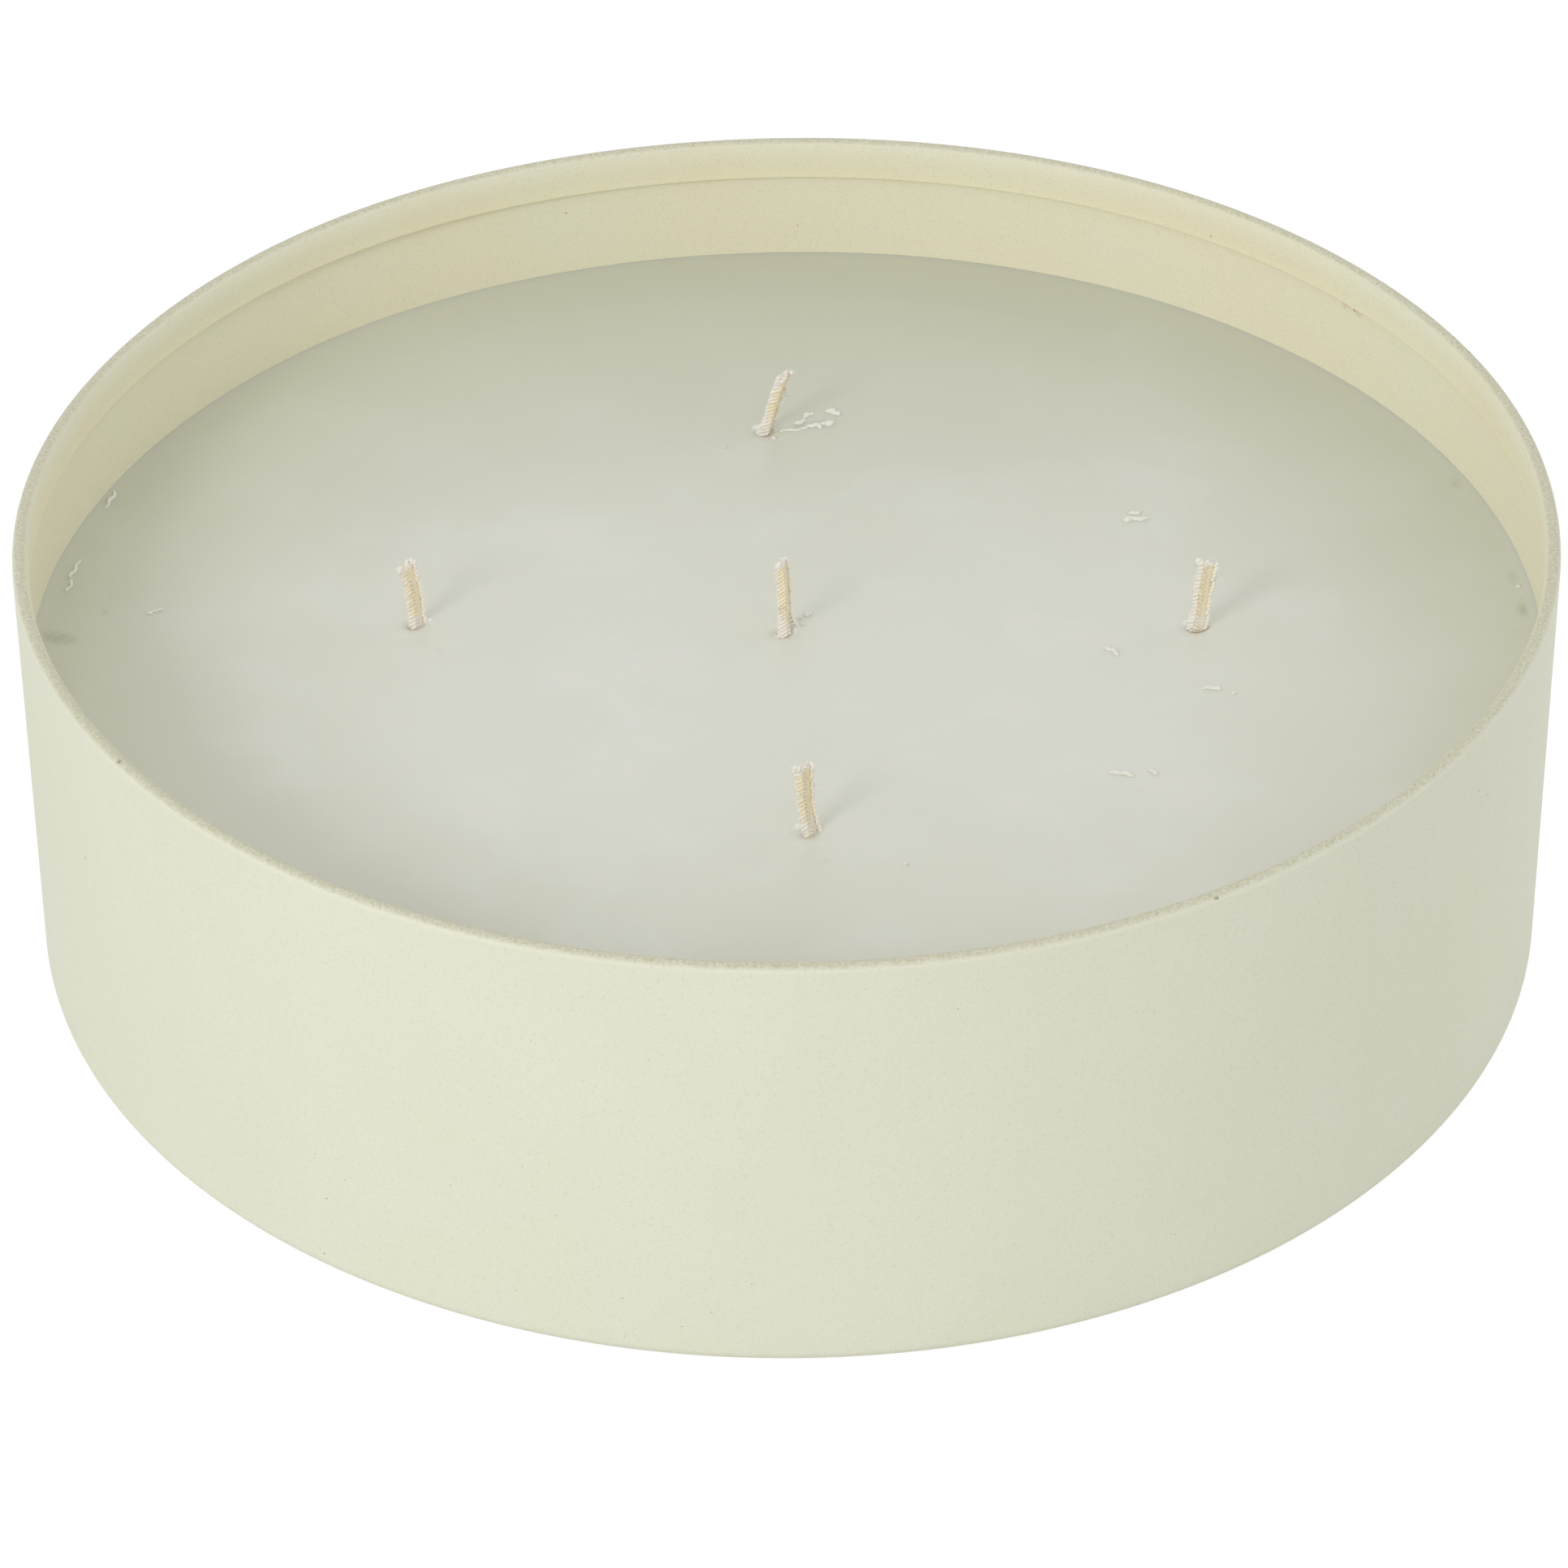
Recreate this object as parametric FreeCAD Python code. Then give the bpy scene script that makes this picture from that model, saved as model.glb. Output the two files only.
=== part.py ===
"""Container candle: a shallow hemmed steel container, filled with wax that holds five wicks.

The origin is at the middle of the container's underside, +Z up and +Y towards the back.
All sizes are in millimetres.
"""
import FreeCAD, Part
import math
import os
from FreeCAD import Vector

# Container: one piece of coated sheet steel, drawn to a cup and hemmed inwards at the rim
container_diameter = 280.0
container_height = 84.0
sheet = 1.2
base_bend_radius = 1.3        # inside radius where the wall turns into the base
hem_gap = 0.2                 # slot that stays open inside the folded hem
hem_leg = 8.4                 # from the top of the rim down to the hem's cut edge
bend_step = 30.0              # a bend in the sheet is made of flats that turn by this many degrees

# Wax: poured to a level below the rim, drawn up a little where it wets the wall
wax_drop = 26.8               # from the top of the rim down to the wax
creep_width = 1.2             # the wax starts to rise this far from the wall
creep_rise = 0.6
pour_gap = 0.05               # shrinkage between the set wax and whatever it was poured against
well_radius = 2.7             # dimple in the wax round each wick
well_depth = 0.7

# Wick: flat braided cotton with rounded edges
wick_width = 3.2
wick_thickness = 1.8
wick_bend_radius = 10.0       # along the wick's own centre line, where it leaves the wax and leans
wick_tip_break = 0.3          # worn edge round the cut tip

# Sustainer: pressed tinplate disc on the container's floor, its neck squeezed onto the wick
sustainer_diameter = 20.0
tinplate = 0.3
neck_height = 6.0
neck_grip = 0.02              # room left between the squeezed neck and the cotton

# Wicks stand in a cross. Each has its step from the middle, how far it strayed from there while
# the wax set (right, back), its height over the wax, its lean to the right and its turn, in degrees.
wick_spacing = 70.0
wicks = {
    "centre": dict(step=(0, 0), stray=(-0.5, -0.8), height=15.6, lean=-2.3, turn=65.0),
    "left": dict(step=(-1, 0), stray=(1.8, 2.7), height=13.0, lean=-8.0, turn=38.0),
    "right": dict(step=(1, 0), stray=(5.6, 0.0), height=14.2, lean=5.6, turn=4.0),
    "front": dict(step=(0, -1), stray=(3.9, 6.1), height=14.0, lean=-4.8, turn=35.0),
    "back": dict(step=(0, 1), stray=(-3.7, -0.5), height=12.4, lean=19.0, turn=60.0),
}

container_radius = container_diameter / 2
wall_inside = container_radius - sheet
wax_radius = wall_inside - pour_gap
wax_level = container_height - wax_drop
vertical = Vector(0, 0, 1)


def at(radius, height):
    """Point of a turned section, by its distance from the axis and its height."""
    return Vector(radius, 0, height)


def bend(centre, radius, start, end):
    """Corners of a turned section round a bend, between two angles in degrees from outward."""
    flats = math.ceil(abs(end - start) / bend_step)
    angles = [math.radians(start + (end - start) * corner / flats) for corner in range(flats + 1)]
    return [centre + radius * Vector(math.cos(a), 0, math.sin(a)) for a in angles]


def turned(corners):
    """Solid of revolution from the corners of its section, given in order."""
    outline = Part.makePolygon([*corners, corners[0]])
    return Part.Face(outline).revolve(Vector(), vertical, 360)


def oblong(width, thickness):
    """Wire of a flat strip's section with half-round edges, level, centred on the axis."""
    radius = thickness / 2
    right = Vector(width / 2 - radius, 0, 0)
    left = -right
    side = Vector(0, radius, 0)
    nose = Vector(radius, 0, 0)
    return Part.Wire([
        Part.LineSegment(left - side, right - side).toShape(),
        Part.Arc(right - side, right + nose, right + side).toShape(),
        Part.LineSegment(right + side, left + side).toShape(),
        Part.Arc(left + side, left - nose, left - side).toShape(),
    ])


def wick_foot(wick):
    """Where a wick's centre line meets the container's floor."""
    x = wick["step"][0] * wick_spacing + wick["stray"][0]
    y = wick["step"][1] * wick_spacing + wick["stray"][1]
    return Vector(x, y, sheet)


def container():
    """Flat base, rounded turn into the straight wall, and a rim folded in and down on itself."""
    outer_bend = base_bend_radius + sheet
    base_edge = at(container_radius - outer_bend, outer_bend)
    outer_fold = sheet + hem_gap / 2
    rim = at(container_radius - outer_fold, container_height - outer_fold)
    leg_outside = wall_inside - hem_gap
    leg_inside = leg_outside - sheet
    cut_edge = container_height - hem_leg
    slot_end = container_height - sheet
    return turned([
        at(0, 0),
        *bend(base_edge, outer_bend, -90, 0),
        *bend(rim, outer_fold, 0, 180),
        at(leg_inside, cut_edge),
        at(leg_outside, cut_edge),
        at(leg_outside, slot_end),
        at(wall_inside, slot_end),
        *bend(base_edge, base_bend_radius, 0, -90),
        at(0, sheet),
    ])


def wick_strip(wick, spare):
    """A wick from the floor up, upright in the wax and leaning above it, with spare all round."""
    foot = wick_foot(wick)
    lean = math.radians(wick["lean"])
    bend_start = Vector(foot.x, foot.y, wax_level)
    rise = wick_bend_radius * math.sin(abs(lean))
    straight = (wick["height"] - rise) / math.cos(lean)

    def along_bend(angle):
        sideways = math.copysign(wick_bend_radius, lean) * (1 - math.cos(angle))
        return bend_start + Vector(sideways, 0, wick_bend_radius * math.sin(abs(angle)))

    bend_end = along_bend(lean)
    tip = bend_end + straight * Vector(math.sin(lean), 0, math.cos(lean))
    path = Part.Wire([
        Part.LineSegment(foot, bend_start).toShape(),
        Part.Arc(bend_start, along_bend(lean / 2), bend_end).toShape(),
        Part.LineSegment(bend_end, tip).toShape(),
    ])
    section = oblong(wick_width + 2 * spare, wick_thickness + 2 * spare)
    section.rotate(Vector(), vertical, wick["turn"])
    section.translate(foot)
    return path.makePipeShell([section], True, False), tip


def wick_solid(wick):
    """The cotton itself, with the edge of its cut tip worn."""
    strip, tip = wick_strip(wick, 0)
    tip_edges = [e for e in strip.Edges if e.CenterOfMass.distanceToPoint(tip) < wick_width]
    return strip.makeChamfer(min(wick_tip_break, wick_thickness / 4), tip_edges)


def sustainer_form(wick, spare):
    """Disc and neck without the bore, with spare all round."""
    disc = Part.makeCylinder(sustainer_diameter / 2 + spare, tinplate + spare)
    around = 2 * (neck_grip + tinplate + spare)
    neck_section = Part.Face(oblong(wick_width + around, wick_thickness + around))
    neck = neck_section.extrude(vertical * (tinplate + neck_height + spare))
    form = disc.fuse(neck).removeSplitter()
    form.rotate(Vector(), vertical, wick["turn"])
    form.translate(wick_foot(wick))
    return form


def sustainer(wick):
    """Tinplate foot: the wick passes through its neck and ends level with its underside."""
    bore = wick_strip(wick, neck_grip)[0]
    return sustainer_form(wick, 0).cut(bore)


def wax():
    """Wax as it set: level, drawn up the wall, and hollow where the wicks and their feet stand."""
    fill = turned([
        at(0, sheet),
        at(wax_radius - base_bend_radius, sheet),
        at(wax_radius, sheet + base_bend_radius),
        at(wax_radius, wax_level + creep_rise),
        at(wax_radius - creep_width, wax_level),
        at(0, wax_level),
    ])
    for wick in wicks.values():
        strip = wick_strip(wick, pour_gap)[0]
        well = Part.makeCone(wick_thickness / 2, well_radius, well_depth)
        well.translate(wick_foot(wick) + vertical * (wax_level - well_depth - sheet))
        fill = fill.cut(strip.fuse([well, sustainer_form(wick, pour_gap)]))
    return fill


def write(name, shape):
    """One STEP file for one sub-part."""
    shape.exportStep(os.path.join("parts", name + ".step"))
    print(name, "valid", shape.isValid(), "solids", len(shape.Solids), "mm3", round(shape.Volume, 1))


os.makedirs("parts", exist_ok=True)
write("container", container())
write("wax_fill", wax())
for place, wick in wicks.items():
    write("wick_" + place, wick_solid(wick))
    write("sustainer_" + place, sustainer(wick))
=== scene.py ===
# %% [markdown]
# # A wide candle in a steel container
#
# The real thing is a shallow cup of powder-coated sheet steel, 280 mm across, with its rim folded
# inwards. It is filled with pale paraffin wax, and five flat cotton wicks stand about 14 mm out of it.
#
# The construction comes as solids in their real places. They are exact but plain, so each visible piece
# is made again here as a fine surface in the same place, where it can carry dents, creases and fibres.
# Every surface is a grid of points worked out with numpy, as whole arrays.

# %% Load the construction
import math

import bpy
import numpy as np
from mathutils import Matrix, Vector


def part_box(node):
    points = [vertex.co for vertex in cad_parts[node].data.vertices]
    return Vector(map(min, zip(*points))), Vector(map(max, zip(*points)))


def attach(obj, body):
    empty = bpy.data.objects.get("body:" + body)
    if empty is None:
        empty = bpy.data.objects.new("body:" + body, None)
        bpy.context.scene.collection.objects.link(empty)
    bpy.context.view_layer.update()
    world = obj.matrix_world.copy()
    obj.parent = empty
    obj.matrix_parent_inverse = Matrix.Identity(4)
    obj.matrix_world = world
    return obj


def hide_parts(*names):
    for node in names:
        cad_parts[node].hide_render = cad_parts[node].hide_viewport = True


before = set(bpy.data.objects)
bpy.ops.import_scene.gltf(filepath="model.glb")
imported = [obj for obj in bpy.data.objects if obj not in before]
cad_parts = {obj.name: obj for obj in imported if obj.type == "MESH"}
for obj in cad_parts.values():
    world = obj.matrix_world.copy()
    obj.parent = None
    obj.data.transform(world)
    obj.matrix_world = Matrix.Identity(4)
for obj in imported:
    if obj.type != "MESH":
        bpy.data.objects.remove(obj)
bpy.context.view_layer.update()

MM = 0.001
TURN = 2 * math.pi
PLACES = ("centre", "left", "right", "front", "back")

container_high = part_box("container")[1]
wax_low, wax_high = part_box("wax_fill")
RIM_RADIUS = container_high.x
RIM_HEIGHT = container_high.z
print("container is", round(2 * RIM_RADIUS, 4), "m wide and", round(RIM_HEIGHT, 4), "m high")

# %% [markdown]
# ## The camera
#
# The photograph was taken from in front and above with a long lens. The camera's place, pitch and focal
# length come from fitting three circles to the picture: the rim, the base's edge and the wax's edge.
# A long focal length at about a metre keeps the far rim nearly as wide as the near one. The pitch could
# be found by eye too, but a fit settles it with the focal length, and each hides errors in the other.

# %% Camera
PHOTO_PIXELS = 1932
FOCAL_PIXELS = 7360
SENSOR_WIDTH = 36
CAMERA_BACK = 914.9 * MM
CAMERA_UP = 665.3 * MM
CAMERA_PITCH = 35.1
CAMERA_YAW = 0.052
CAMERA_ROLL = 0.39


def add_object(name, data):
    """Makes an object of a mesh, lamp or camera and puts it into the scene."""
    made = bpy.data.objects.new(name, data)
    bpy.context.scene.collection.objects.link(made)
    return made


camera = add_object("camera", bpy.data.cameras.new("camera"))
camera.data.sensor_width = SENSOR_WIDTH
camera.data.lens = SENSOR_WIDTH * FOCAL_PIXELS / PHOTO_PIXELS
camera.data.clip_start = 10 * MM
turn_left = Matrix.Rotation(math.radians(CAMERA_YAW), 4, "Z")
look_down = Matrix.Rotation(math.radians(90 - CAMERA_PITCH), 4, "X")
roll = Matrix.Rotation(math.radians(-CAMERA_ROLL), 4, "Z")
camera.matrix_world = Matrix.Translation((0, -CAMERA_BACK, CAMERA_UP)) @ turn_left @ look_down @ roll
bpy.context.scene.camera = camera
print("lens is", round(camera.data.lens, 1), "mm")

# %% [markdown]
# ## Putting arrays into a mesh
#
# A surface worked out with numpy is an array of points and an array of faces that name them. Filling a
# mesh through `foreach_set` hands the arrays over whole. A Python loop over the points gives the same
# mesh, but it takes seconds where this takes milliseconds. The volume inside a closed surface is printed
# for each piece: it is positive only if the faces point outwards.

# %% Mesh helpers
def volume_inside(points, triangles):
    """Sum of the signed volumes of the tetrahedra from the origin to each triangle."""
    a, b, c = (points[triangles[:, k]] for k in range(3))
    return float(np.einsum("ij,ij->i", a, np.cross(b, c)).sum() / 6)


def add_piece(name, points, quads, triangles, values=None):
    """Puts a surface of quads and triangles into the scene, riding on the object; prints its size."""
    fan = np.concatenate([triangles, quads[:, [0, 1, 2]], quads[:, [0, 2, 3]]])
    mesh = bpy.data.meshes.new(name)
    mesh.vertices.add(len(points))
    mesh.vertices.foreach_set("co", np.asarray(points, np.float32).ravel())
    corners = np.concatenate([quads.ravel(), triangles.ravel()])
    sizes = np.concatenate([np.full(len(quads), 4), np.full(len(triangles), 3)])
    mesh.loops.add(len(corners))
    mesh.loops.foreach_set("vertex_index", corners.astype(np.int32))
    mesh.polygons.add(len(sizes))
    mesh.polygons.foreach_set("loop_start", (np.cumsum(sizes) - sizes).astype(np.int32))
    mesh.update(calc_edges=True)
    mesh.validate()
    mesh.shade_smooth()
    for key, value in (values or {}).items():
        layer = mesh.attributes.new(key, "FLOAT", "POINT")
        layer.data.foreach_set("value", np.asarray(value, np.float32))
    piece = add_object(name, mesh)
    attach(piece, "root")
    print(name, len(fan), "triangles,", round(volume_inside(points, fan) * 1e6, 3), "cubic centimetres")
    return piece


def grid_quads(rows, columns, first=0):
    """Quads of a grid whose columns close into a ring, counted from point number first."""
    row = np.arange(rows - 1)[:, None] * columns
    column = np.arange(columns)[None, :]
    after = (column + 1) % columns
    corners = [row + column, row + after, row + columns + after, row + columns + column]
    return np.stack(corners, -1).reshape(-1, 4) + first


def ring_fan(ring, pole, flip):
    """Triangles that close a ring of point numbers onto one pole."""
    after = np.roll(ring, -1)
    pair = (after, ring) if flip else (ring, after)
    return np.stack([*pair, np.full(len(ring), pole)], -1)


# %% [markdown]
# ## Turned forms
#
# The container and the wax are both round about one upright axis, so each is a section carried round
# that axis. Blender's Spin tool or Screw modifier does this too. A grid of its own is as short to write,
# leaves no seam, closes on the axis in one point, and lets any row be moved afterwards.
# Straight stretches of a section get a close pair of points at each end. Without them the smooth shading
# of a bend would spread over the whole wall beside it.

# %% Turned surfaces
def arc(centre, radius, start, end, count):
    """Points at equal angles on a circle: centre plus radius times the cosine and sine of the angle."""
    angle = np.radians(np.linspace(start, end, count))[:, None]
    return np.array(centre) + radius * np.concatenate([np.cos(angle), np.sin(angle)], 1)


def stretch(start, end, spacing, margin):
    """Points on a straight line at about one spacing, with one more point a margin from each end."""
    start, end = np.array(start, float), np.array(end, float)
    length = np.linalg.norm(end - start)
    inner = np.linspace(margin, length - margin, max(2, int(length / spacing)))
    share = np.concatenate([[0], inner, [length]]) / length
    return start + share[:, None] * (end - start)


def turn_section(section, angles):
    """Grid of points (r cos a, r sin a, z) for each point (r, z) of a section and each angle a."""
    radius, height = section[:, 0, None], section[:, 1, None]
    ones = np.ones_like(angles)
    return np.stack([radius * np.cos(angles), radius * np.sin(angles), height * ones], -1)


def close_on_axis(grid, start, end):
    """Flattens a turned grid to points, quads and triangles, and closes both its ends on the axis."""
    rows, columns = grid.shape[:2]
    points = np.concatenate([grid.reshape(-1, 3), [start, end]])
    first_ring = np.arange(columns)
    last_ring = first_ring + (rows - 1) * columns
    caps = [ring_fan(first_ring, len(points) - 2, True), ring_fan(last_ring, len(points) - 1, False)]
    return points, grid_quads(rows, columns), np.concatenate(caps)


# %% [markdown]
# ## Slow waves
#
# Sheet metal is never quite round, and wax never sets quite flat. Both are drawn as a sum of a few plane
# waves with directions and phases from a seeded random generator: the same seed gives the same waves on
# every run. Blender's Displace modifier with a cloud texture would also do it, but a formula can be used
# on any array, and can be limited to where the real surface may move.

# %% Waves
def waves(x, y, length, seed, count=9):
    """Mean of cosines of plane waves of about one length, in random directions: runs from -1 to 1."""
    random = np.random.default_rng(seed)
    heading = random.uniform(0, TURN, count)
    number = TURN / (length * random.uniform(0.7, 1.4, count))
    phase = random.uniform(0, TURN, count)
    total = sum(
        np.cos(k * (x * np.cos(h) + y * np.sin(h)) + p)
        for k, h, p in zip(number, heading, phase)
    )
    return total / count


# %% [markdown]
# The cup is thin for its width, so handling has pressed it a little out of round: the photograph's rim
# lies inside a true circle by nearly 2 mm at the back. The wax was poured into the pressed cup, so both
# pieces get their radius from the same formula. It only takes away, so nothing grows past the solids.

# %% Out of round
PRESSED = ((100, 33, 2.2 * MM), (150, 22, 1.1 * MM), (0, 14, 0.4 * MM))


def bell(distance, width):
    """Smooth bump: one at no distance, near nothing at two widths."""
    return np.exp(-((distance / width) ** 2))


def pressed(angles, height):
    """Share of the true radius that is left: less by one bell per pressed place, more so higher up."""
    around = (np.degrees(angles)[..., None] - [p[0] for p in PRESSED] + 180) % 360 - 180
    depth = (bell(around, np.array([p[1] for p in PRESSED])) * [p[2] for p in PRESSED]).sum(-1)
    return 1 - depth / RIM_RADIUS * (0.5 + 0.5 * height / RIM_HEIGHT)


# %% [markdown]
# ## The container
#
# The cup is drawn from one round blank, and its rim is folded in and pressed down on itself, so the rim
# is twice the sheet's thickness and ends in a cut edge 8.4 mm down the inside. That edge shows in the
# photograph as a fine line all round, so it is modelled and not painted. Powder coat rounds the cut
# edge, which is why the edge catches the light softly, and the folded leg above it is slightly crowned.
#
# Rows of points stand a step apart along each straight stretch, and close or closer to its ends. The
# ripple's length is in radii. The crest is what lies within a small depth of the rim, and fades out.

# %% Container
SHEET = 1.2 * MM
HEM_GAP = 0.2 * MM
HEM_LEG = 8.4 * MM
BEND_INSIDE = 1.3 * MM
EDGE_ROUND = 0.45 * MM
HEM_CROWN = 0.26 * MM
SIDES = 512
FLOOR_STEP = 9 * MM
WALL_STEP = 3 * MM
LEG_STEP = 0.6 * MM
CLOSE = 0.3 * MM
CLOSER = 0.2 * MM
INNER_RING = 4 * MM
RIPPLE = 0.2 * MM
RIPPLE_LENGTH = 0.9
CREST_DEPTH = 0.75 * MM
CREST_FADE = 0.6 * MM


def container_section():
    """Section of the cup from the axis along the underside, up the outside and back down the inside."""
    bend = BEND_INSIDE + SHEET
    bend_centre = (RIM_RADIUS - bend, bend)
    fold = SHEET + HEM_GAP / 2
    fold_centre = (RIM_RADIUS - fold, RIM_HEIGHT - fold)
    wall_inside = RIM_RADIUS - SHEET
    leg_outside = wall_inside - HEM_GAP
    leg_inside = leg_outside - SHEET
    cut = RIM_HEIGHT - HEM_LEG
    slot_end = RIM_HEIGHT - SHEET
    edge_in = (leg_inside + EDGE_ROUND, cut + EDGE_ROUND)
    edge_out = (leg_outside - EDGE_ROUND, cut + EDGE_ROUND)
    leg = stretch((leg_inside, fold_centre[1]), (leg_inside, edge_in[1]), LEG_STEP, CLOSER)
    leg[:, 0] -= HEM_CROWN * np.sin(math.pi * np.linspace(0, 1, len(leg)) ** 0.7) ** 2
    return np.concatenate([
        stretch((INNER_RING, 0), (bend_centre[0], 0), FLOOR_STEP, CLOSE),
        arc(bend_centre, bend, -90, 0, 12)[1:],
        stretch((RIM_RADIUS, bend), (RIM_RADIUS, fold_centre[1]), WALL_STEP, CLOSE)[1:],
        arc(fold_centre, fold, 0, 180, 16)[1:],
        leg[1:],
        arc(edge_in, EDGE_ROUND, 180, 270, 6)[1:],
        arc(edge_out, EDGE_ROUND, -90, 0, 6),
        stretch((leg_outside, edge_out[1]), (leg_outside, slot_end), WALL_STEP, CLOSER)[1:],
        stretch((wall_inside, slot_end), (wall_inside, bend), WALL_STEP, CLOSER),
        arc(bend_centre, BEND_INSIDE, 0, -90, 8)[1:],
        stretch((bend_centre[0], SHEET), (INNER_RING, SHEET), FLOOR_STEP, CLOSE)[1:],
    ])


def container_surface():
    """The turned section, pressed out of round, and how far inside or on the crest each point is."""
    angles = np.linspace(0, TURN, SIDES, endpoint=False)
    section = container_section()
    grid = turn_section(section, angles)
    swell = waves(np.cos(angles), np.sin(angles), RIPPLE_LENGTH, seed=4)
    ripple = RIPPLE / 2 * (swell - 1.1) / RIM_RADIUS  # never above nothing, so it only takes away
    share = pressed(angles[None, :], grid[..., 2]) + ripple * grid[..., 2] / RIM_HEIGHT
    grid[..., :2] *= share[..., None]
    over_crest = np.argmax(section[:, 1])
    # The inside value says where the inner wall is painted warmer as bounce light, less up the hem; it
    # also bounds the rust.
    depth = np.clip((RIM_RADIUS - section[:, 0]) / (2 * SHEET), 0, 1)
    below_rim = (RIM_HEIGHT - section[:, 1]) / HEM_LEG
    depth *= np.where(below_rim < 1.1, np.clip(0.25 + 0.65 * below_rim, 0, 1), 1)
    inside = np.where(np.arange(len(section)) > over_crest - 8, depth, 0)
    # The crest value says where the rim's crest is painted darker, as painted shade.
    crest = np.clip((section[:, 1] - RIM_HEIGHT + CREST_DEPTH) / CREST_FADE, 0, 1)
    values = {
        "inside": np.append(np.repeat(inside, SIDES), [0, 1]),
        "crest": np.append(np.repeat(crest, SIDES), [0, 0]),
    }
    return close_on_axis(grid, (0, 0, 0), (0, 0, SHEET)), values


surface, values = container_surface()
container = add_piece("container_sheet", *surface, values)
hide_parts("container")

# %% [markdown]
# ## Where the wicks stand
#
# Each wick's foot, tip and turn are read back from its solid: the foot is the middle of its lowest
# points, the tip is the middle of its highest, and the flat side's direction is the one in which the
# lowest points spread most. So the fine pieces follow the solids, wherever those stand.

# %% Wick places
CREEP_RISE = 0.6 * MM
WAX_LEVEL = wax_high.z - CREEP_RISE
WAX_WETS = 0.1 * MM
WAX_RADIUS = wax_high.x + WAX_WETS
FOOT_BAND = 0.1 * MM
TIP_BAND = 0.9 * MM


def node_points(name):
    """All points of a construction solid as one array."""
    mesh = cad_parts[name].data
    flat = np.empty(len(mesh.vertices) * 3)
    mesh.vertices.foreach_get("co", flat)
    return flat.reshape(-1, 3)


def read_wick(place):
    """Foot, tip and flat direction of a wick's solid."""
    points = node_points("wick_" + place)
    height = points[:, 2]
    low = points[height < height.min() + FOOT_BAND]
    high = points[height > height.max() - TIP_BAND]
    spread = low[:, :2] - low[:, :2].mean(0)
    flat = np.linalg.eigh(spread.T @ spread)[1][:, 1]
    foot = np.append((low[:, :2].min(0) + low[:, :2].max(0)) / 2, height.min())
    tip = np.append((high[:, :2].min(0) + high[:, :2].max(0)) / 2, height.max())
    return {"foot": foot, "tip": tip, "flat": flat * np.sign(flat[0])}


wicks = {place: read_wick(place) for place in PLACES}
for place, wick in wicks.items():
    print(place, "wick stands", round((wick["tip"][2] - WAX_LEVEL) / MM, 1), "mm over the wax")

# %% [markdown]
# ## The wax
#
# Paraffin is poured at about 65 degrees and shrinks as it sets. It creeps up the wall, sinks round each
# wick, and keeps faint waves from the pour. One wick was pushed over while the wax was soft, and tore a
# short trough. Lumps of wax cling beside some of the feet, and soot has settled in a brown crescent at
# the front of each. All of this is height and marks on one round grid, whose rings and spokes crowd
# together near the wicks: an even grid fine enough for the small forms there would need ten times the
# points. Sculpting could do the same by hand, but not the same way twice. Real wax wets the wall, so
# this surface reaches a tenth of a millimetre into the sheet and shows no gap.
#
# A lump is its place, its reach and its height. A smudge is its place, its reach to the side and to the
# back, and its strength. A lip or tear round a well is its radius, its width and its height or strength.

# %% Wax surface
WELL_DEPTH = 0.75 * MM
WELL_WIDTH = 1.9 * MM
WELL_SHIFT = np.array([-0.6, -0.5]) * MM
WELL_LIP = (3.4 * MM, 1.1 * MM, 0.15 * MM)
WELL_TEAR = (2.6 * MM, 0.6 * MM, 0.4)
SCORCH = {"centre": 0.4, "left": 0.6, "right": 1.1, "front": 0.4, "back": 0.55}
SCORCH_HALF = (1.85 * MM, 1.2 * MM)
LUMPS = np.array([
    (-5.3, 70.2, 0.8, 0.55), (73.8, 1.2, 0.6, 0.6), (1.2, -0.1, 0.6, 0.45),
    (-1.9, -2.0, 0.7, 0.12), (1.8, -62.6, 0.6, 0.35), (-66.0, 3.6, 0.5, 0.2),
]) * MM
CREEP_WIDTH = 1.1 * MM
EDGE_RING = 0.08 * MM
POUR_WAVE = 0.09 * MM
LONG_SWELL, SHORT_SWELL = 45 * MM, 17 * MM
SET_RINGS, RING_WANDER = 11 * MM, 60 * MM
PINHOLES = np.array([(-63.9, -6.0), (6.5, -72.7), (-49.0, -20.2), (18.8, 102.7)]) * MM
PINHOLE_DEPTH = 0.3 * MM
TROUGH = np.array([(-1.0, 69.9), (3.0, 71.4), (7.2, 73.7)]) * MM
TROUGH_DEPTH = 0.55 * MM
TROUGH_HALF = 0.95 * MM
SMUDGES = np.array([
    (-135.6, -1.2, 3.0, 2.5, 0.8), (-132.2, -2.2, 2.6, 2.0, 0.65), (-130.5, 2.6, 1.2, 1.6, 0.45),
    (-126.1, 6.8, 1.3, 2.0, 0.6), (-125.8, 13.5, 0.8, 5.0, 0.4), (127.6, 48.4, 1.7, 2.8, 0.7),
    (135.0, 15.9, 1.3, 3.2, 0.7), (135.9, 4.6, 1.4, 3.6, 0.9),
]) * (MM, MM, MM, MM, 1)
SPOKES, SPOKE_CROWD = 540, (0.075, 3.2)
RINGS, RING_CROWD = 157, (3.5 * MM, 3.0)


def crowded(start, end, count, centres, width, boost):
    """Values from start to end that lie closer near the centres: equal steps of a summed-up density."""
    fine = np.linspace(start, end, 20001)
    summed = np.cumsum(1 + boost * np.sum([bell(fine - c, width) for c in centres], axis=0))
    summed = (summed - summed[0]) / (summed[-1] - summed[0])
    return np.interp(np.linspace(0, 1, count), summed, fine)


def off_line(x, y, corners):
    """Distance of each place from a line with corners: the least of the distances from its stretches."""
    away = []
    for start, end in zip(corners[:-1], corners[1:]):
        run = end - start
        along = np.clip(((x - start[0]) * run[0] + (y - start[1]) * run[1]) / (run @ run), 0, 1)
        away.append(np.hypot(x - start[0] - along * run[0], y - start[1] - along * run[1]))
    return np.min(away, axis=0)


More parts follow.
